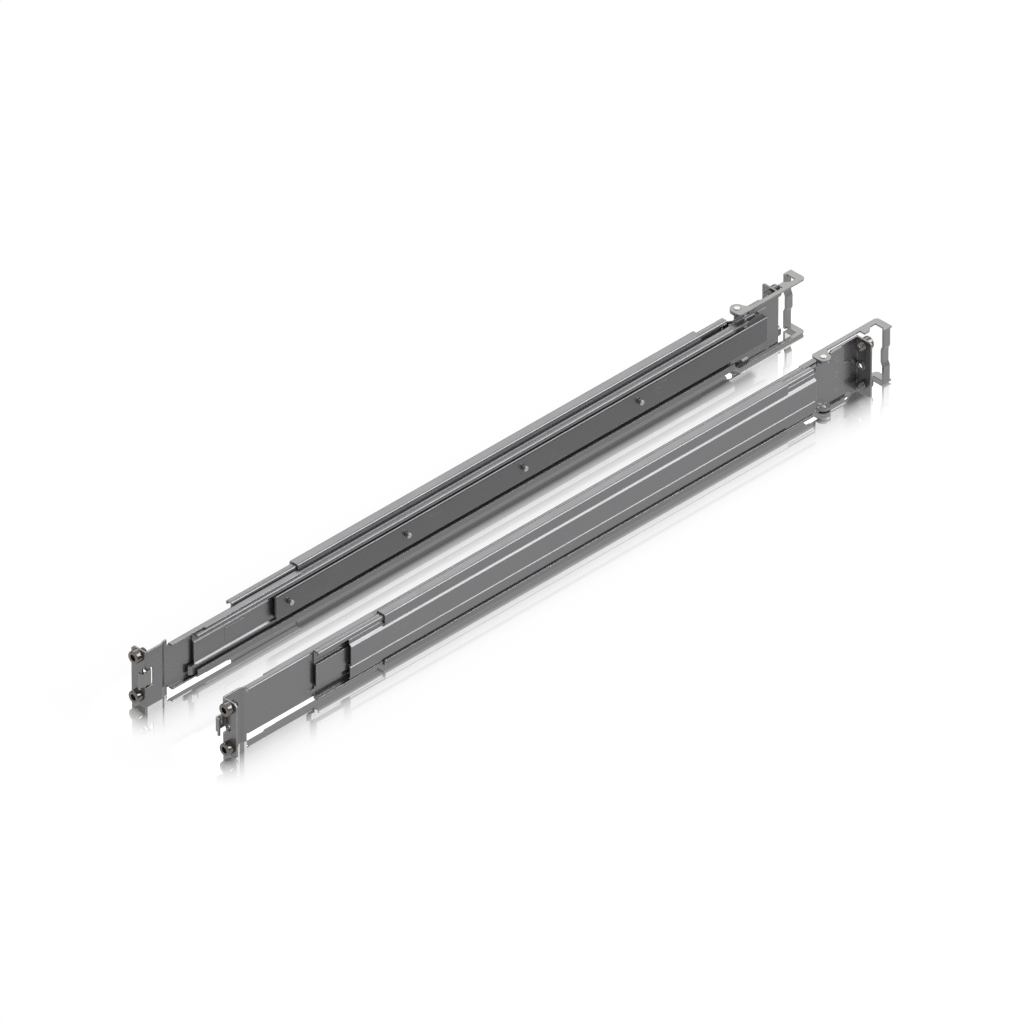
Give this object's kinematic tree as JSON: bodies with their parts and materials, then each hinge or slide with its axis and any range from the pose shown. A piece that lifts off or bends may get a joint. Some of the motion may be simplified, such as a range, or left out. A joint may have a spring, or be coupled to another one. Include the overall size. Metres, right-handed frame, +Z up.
{
  "type": "sliding server rail pair",
  "caption": "Handed pair of telescopic server rails with sprung rack latches, depth-adjusting rear brackets and studded ball-bearing inner slides, shown closed.",
  "frame": {"origin": "on the floor plane, midway between the rails and midway between the front pin heads and the rear of the latch bails", "axes": "+Z up, +Y from the front flanges towards the rear latches, +X to the right seen from the front"},
  "size_m": [0.1018, 0.6224, 0.046],
  "materials": {
    "side_steel": "zinc-plated sheet, satin",
    "slide_steel": "zinc-plated sheet, satin",
    "inner_steel": "zinc-plated sheet, satin",
    "latch_steel": "bright zinc-plated strip",
    "screw_steel": "nickel-plated, polished",
    "pin_steel": "turned steel",
    "spring_steel": "drawn spring wire",
    "cage_steel": "thin bright strip",
    "ball_steel": "polished",
    "bumper_rubber": "moulded, matt"
  },
  "bodies": {
    "fixed_rails": {"right_front_bracket": "side_steel", "right_front_screws": "screw_steel", "right_front_hook_pins": "pin_steel", "right_front_hook_spring": "spring_steel", "right_outer_slide": "slide_steel", "right_slide_stop": "pin_steel", "right_guide_channel": "side_steel", "right_wrap_channel": "side_steel", "right_channel_rivets": "pin_steel", "left_front_bracket": "side_steel", "left_front_screws": "screw_steel", "left_front_hook_pins": "pin_steel", "left_front_hook_spring": "spring_steel", "left_outer_slide": "slide_steel", "left_slide_stop": "pin_steel", "left_guide_channel": "side_steel", "left_wrap_channel": "side_steel", "left_channel_rivets": "pin_steel"},
    "right_inner_slide": {"right_inner_plate": "inner_steel", "right_inner_channel": "inner_steel", "right_server_studs": "pin_steel", "right_slide_bumper": "bumper_rubber"},
    "right_ball_cages": {"right_upper_ball_cage": "cage_steel", "right_lower_ball_cage": "cage_steel", "right_slide_balls": "ball_steel"},
    "right_rear_extension": {"right_extension_arm": "side_steel", "right_rear_bracket": "side_steel", "right_bracket_rivets": "pin_steel", "right_rear_screws": "screw_steel", "right_latch_pivots": "pin_steel", "right_latch_spring": "spring_steel"},
    "right_latch_bail": {"right_latch_bail": "latch_steel"},
    "right_front_hook": {"right_front_hook": "latch_steel"},
    "left_inner_slide": {"left_inner_plate": "inner_steel", "left_inner_channel": "inner_steel", "left_server_studs": "pin_steel", "left_slide_bumper": "bumper_rubber"},
    "left_ball_cages": {"left_upper_ball_cage": "cage_steel", "left_lower_ball_cage": "cage_steel", "left_slide_balls": "ball_steel"},
    "left_rear_extension": {"left_extension_arm": "side_steel", "left_rear_bracket": "side_steel", "left_bracket_rivets": "pin_steel", "left_rear_screws": "screw_steel", "left_latch_pivots": "pin_steel", "left_latch_spring": "spring_steel"},
    "left_latch_bail": {"left_latch_bail": "latch_steel"},
    "left_front_hook": {"left_front_hook": "latch_steel"}
  },
  "joints": [
    {"name": "right_slide_out", "type": "slide", "parent": "fixed_rails", "child": "right_inner_slide", "axis": [0, -1, 0], "range_m": [0, 0.4]},
    {"name": "right_cage_roll", "type": "slide", "parent": "fixed_rails", "child": "right_ball_cages", "axis": [0, -1, 0], "range_m": [0, 0.2]},
    {"name": "right_depth_adjust", "type": "slide", "parent": "fixed_rails", "child": "right_rear_extension", "axis": [0, 1, 0], "range_m": [0, 0.3]},
    {"name": "right_latch_swing", "type": "hinge", "parent": "right_rear_extension", "child": "right_latch_bail", "pos_m": [0.0405, 0.253, 0.0234], "axis": [0, 0, 1], "range_deg": [0, 28], "stiffness_Nm_per_rad": 0.02, "springref_deg": -17.19},
    {"name": "right_hook_swing", "type": "hinge", "parent": "fixed_rails", "child": "right_front_hook", "pos_m": [0.0402, -0.3006, 0.0229], "axis": [0, 0, -1], "range_deg": [0, 12], "stiffness_Nm_per_rad": 0.02, "springref_deg": -11.46},
    {"name": "left_slide_out", "type": "slide", "parent": "fixed_rails", "child": "left_inner_slide", "axis": [0, -1, 0], "range_m": [0, 0.4]},
    {"name": "left_cage_roll", "type": "slide", "parent": "fixed_rails", "child": "left_ball_cages", "axis": [0, -1, 0], "range_m": [0, 0.2]},
    {"name": "left_depth_adjust", "type": "slide", "parent": "fixed_rails", "child": "left_rear_extension", "axis": [0, 1, 0], "range_m": [0, 0.3]},
    {"name": "left_latch_swing", "type": "hinge", "parent": "left_rear_extension", "child": "left_latch_bail", "pos_m": [-0.0405, 0.253, 0.0234], "axis": [0, 0, -1], "range_deg": [0, 28], "stiffness_Nm_per_rad": 0.02, "springref_deg": -17.19},
    {"name": "left_hook_swing", "type": "hinge", "parent": "fixed_rails", "child": "left_front_hook", "pos_m": [-0.0402, -0.3006, 0.0229], "axis": [0, 0, 1], "range_deg": [0, 12], "stiffness_Nm_per_rad": 0.02, "springref_deg": -11.46}
  ],
  "couplings": [
    {"joint": "right_cage_roll", "follows": "right_slide_out", "ratio": 0.5},
    {"joint": "left_cage_roll", "follows": "left_slide_out", "ratio": 0.5}
  ]
}
